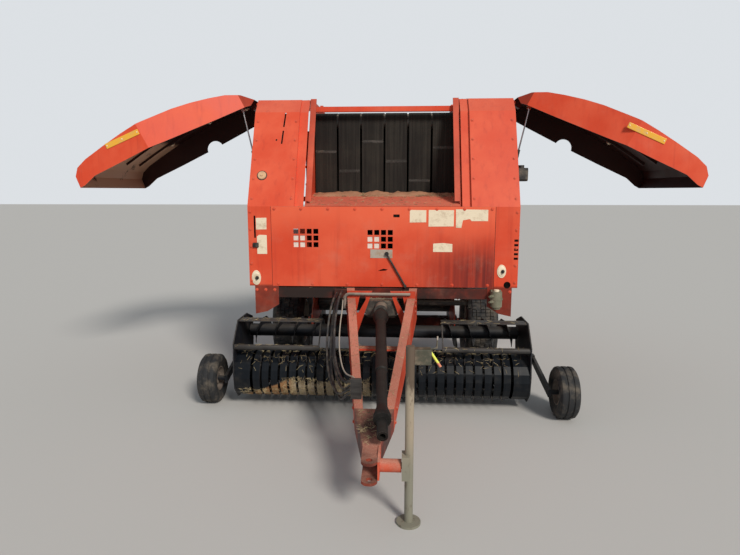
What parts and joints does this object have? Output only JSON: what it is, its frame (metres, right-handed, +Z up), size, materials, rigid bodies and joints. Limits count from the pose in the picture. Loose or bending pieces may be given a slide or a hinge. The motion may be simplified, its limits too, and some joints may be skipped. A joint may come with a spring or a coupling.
{
  "type": "round baler",
  "caption": "Towed round baler with raised side doors, chamber belts, a wide tined pickup, a lifting tailgate and a tongue on its parking jack.",
  "frame": {"origin": "ground level, at the middle of the machine's length and width with its doors raised", "axes": "+X to the machine's own left, +Y to its rear, +Z up"},
  "size_m": [4.7038, 3.9209, 2.4],
  "materials": {
    "red_paint": "faded dusty red paint",
    "shade_steel": "dark paint under dust and grease",
    "worn_steel": "bare steel polished by hay",
    "grey_pipe": "grey painted pipe",
    "belt_rubber": "dusty black belting",
    "tyre_rubber": "dusty tyre rubber",
    "rim_paint": "pale paint on pressed rims",
    "cast_housing": "oily cast iron",
    "chrome_rod": "hard chrome",
    "black_plastic": "black moulded plastic",
    "hose_rubber": "black hose cover",
    "cable_sheath": "pale cable sheath",
    "lamp_lens": "red lens in a black body",
    "control_grey": "grey green paint",
    "weathered_steel": "weathered pale paint"
  },
  "bodies": {
    "root": {"side_wall_left": "red_paint", "side_wall_right": "red_paint", "main_frame": "red_paint", "front_panel_left": "red_paint", "front_panel_right": "red_paint", "hood_panel": "red_paint", "debris_deck": "red_paint", "top_crossbar": "red_paint", "roof_left": "red_paint", "roof_right": "red_paint", "tongue_left_beam": "red_paint", "tongue_right_beam": "red_paint", "cross_pipe": "grey_pipe", "tongue_brace": "red_paint", "tongue_nose": "red_paint", "jack_bracket": "red_paint", "gearbox": "cast_housing", "driveline": "black_plastic", "front_rollers": "shade_steel", "front_belts": "belt_rubber", "chain_drive": "shade_steel", "twine_box": "red_paint", "hose_block": "shade_steel", "hose_clip": "shade_steel", "hose_a": "hose_rubber", "hose_b": "hose_rubber", "hose_c": "hose_rubber", "hose_d": "hose_rubber", "control_cable": "cable_sheath", "control_box": "control_grey", "oiler_tank": "black_plastic"},
    "tailgate": {"tailgate_frame": "red_paint", "tailgate_rollers": "shade_steel", "tailgate_belts": "belt_rubber", "tail_lamps": "lamp_lens"},
    "pickup": {"pickup_frame": "shade_steel", "pickup_bands": "worn_steel", "gauge_arms": "shade_steel", "auger_cage": "grey_pipe"},
    "reel": {"pickup_reel": "shade_steel"},
    "auger": {"centering_auger": "shade_steel"},
    "jack": {"jack_leg": "weathered_steel"},
    "wheel_left": {"main_tyre_left": "tyre_rubber", "main_rim_left": "rim_paint"},
    "gauge_left": {"gauge_wheel_left": "tyre_rubber"},
    "door_left": {"door_left": "red_paint"},
    "strut_barrel_left": {"strut_barrel_left": "black_plastic"},
    "strut_rod_left": {"strut_rod_left": "chrome_rod"},
    "cylinder_barrel_left": {"cylinder_barrel_left": "shade_steel"},
    "cylinder_rod_left": {"cylinder_rod_left": "chrome_rod"},
    "wheel_right": {"main_tyre_right": "tyre_rubber", "main_rim_right": "rim_paint"},
    "gauge_right": {"gauge_wheel_right": "tyre_rubber"},
    "door_right": {"door_right": "red_paint"},
    "strut_barrel_right": {"strut_barrel_right": "black_plastic"},
    "strut_rod_right": {"strut_rod_right": "chrome_rod"},
    "cylinder_barrel_right": {"cylinder_barrel_right": "shade_steel"},
    "cylinder_rod_right": {"cylinder_rod_right": "chrome_rod"}
  },
  "joints": [
    {"name": "tailgate_lift", "type": "hinge", "parent": "root", "child": "tailgate", "pos_m": [0, 0.96, 2.375], "axis": [1, 0, 0], "range_deg": [0, 60]},
    {"name": "pickup_lift", "type": "hinge", "parent": "root", "child": "pickup", "pos_m": [0, 0.12, 0.56], "axis": [-1, 0, 0], "range_deg": [0, 10]},
    {"name": "reel_turn", "type": "hinge", "parent": "pickup", "child": "reel", "pos_m": [0, -0.345, 0.245], "axis": [1, 0, 0], "continuous": true},
    {"name": "auger_turn", "type": "hinge", "parent": "pickup", "child": "auger", "pos_m": [0, -0.04, 0.5], "axis": [1, 0, 0], "continuous": true},
    {"name": "jack_swing", "type": "hinge", "parent": "root", "child": "jack", "pos_m": [0.192, -1.87, 0.3], "axis": [-1, 0, 0], "range_deg": [0, 90]},
    {"name": "wheel_turn_left", "type": "hinge", "parent": "root", "child": "wheel_left", "pos_m": [0.872, 0.78, 0.39], "axis": [1, 0, 0], "continuous": true},
    {"name": "gauge_turn_left", "type": "hinge", "parent": "pickup", "child": "gauge_left", "pos_m": [1.325, -0.5, 0.185], "axis": [1, 0, 0], "continuous": true},
    {"name": "door_swing_left", "type": "hinge", "parent": "root", "child": "door_left", "pos_m": [1.04, 0, 2.32], "axis": [0, 1, 0], "range_deg": [0, 62]},
    {"name": "strut_turn_left", "type": "hinge", "parent": "root", "child": "strut_barrel_left", "pos_m": [0.99, 0.2, 1.55], "axis": [0, 1, 0], "range_deg": [-12, 2]},
    {"name": "strut_slide_left", "type": "slide", "parent": "strut_barrel_left", "child": "strut_rod_left", "axis": [0.2135, 0, 0.9769], "range_m": [-0.105, 0.004]},
    {"name": "cylinder_turn_left", "type": "hinge", "parent": "root", "child": "cylinder_barrel_left", "pos_m": [0.69, 0.508, 1.355], "axis": [1, 0, 0], "range_deg": [-1, 8]},
    {"name": "cylinder_slide_left", "type": "slide", "parent": "cylinder_barrel_left", "child": "cylinder_rod_left", "axis": [0, 0.5807, 0.8141], "range_m": [-0.005, 0.22]},
    {"name": "wheel_turn_right", "type": "hinge", "parent": "root", "child": "wheel_right", "pos_m": [-0.872, 0.78, 0.39], "axis": [1, 0, 0], "continuous": true},
    {"name": "gauge_turn_right", "type": "hinge", "parent": "pickup", "child": "gauge_right", "pos_m": [-1.302, -0.33, 0.185], "axis": [1, 0, 0], "continuous": true},
    {"name": "door_swing_right", "type": "hinge", "parent": "root", "child": "door_right", "pos_m": [-1.04, 0, 2.32], "axis": [0, -1, 0], "range_deg": [0, 62]},
    {"name": "strut_turn_right", "type": "hinge", "parent": "root", "child": "strut_barrel_right", "pos_m": [-0.99, 0.2, 1.55], "axis": [0, -1, 0], "range_deg": [-12, 2]},
    {"name": "strut_slide_right", "type": "slide", "parent": "strut_barrel_right", "child": "strut_rod_right", "axis": [-0.2135, 0, 0.9769], "range_m": [-0.105, 0.004]},
    {"name": "cylinder_turn_right", "type": "hinge", "parent": "root", "child": "cylinder_barrel_right", "pos_m": [-0.69, 0.508, 1.355], "axis": [1, 0, 0], "range_deg": [-1, 8]},
    {"name": "cylinder_slide_right", "type": "slide", "parent": "cylinder_barrel_right", "child": "cylinder_rod_right", "axis": [0, 0.5807, 0.8141], "range_m": [-0.005, 0.22]}
  ],
  "couplings": [
    {"joint": "strut_turn_left", "follows": "door_swing_left", "ratio": -0.12787},
    {"joint": "strut_slide_left", "follows": "door_swing_left", "m_per_rad": -0.072622},
    {"joint": "cylinder_turn_left", "follows": "tailgate_lift", "ratio": 0.09063},
    {"joint": "cylinder_slide_left", "follows": "tailgate_lift", "m_per_rad": 0.1851},
    {"joint": "strut_turn_right", "follows": "door_swing_right", "ratio": -0.12787},
    {"joint": "strut_slide_right", "follows": "door_swing_right", "m_per_rad": -0.072622},
    {"joint": "cylinder_turn_right", "follows": "tailgate_lift", "ratio": 0.09063},
    {"joint": "cylinder_slide_right", "follows": "tailgate_lift", "m_per_rad": 0.1851}
  ]
}
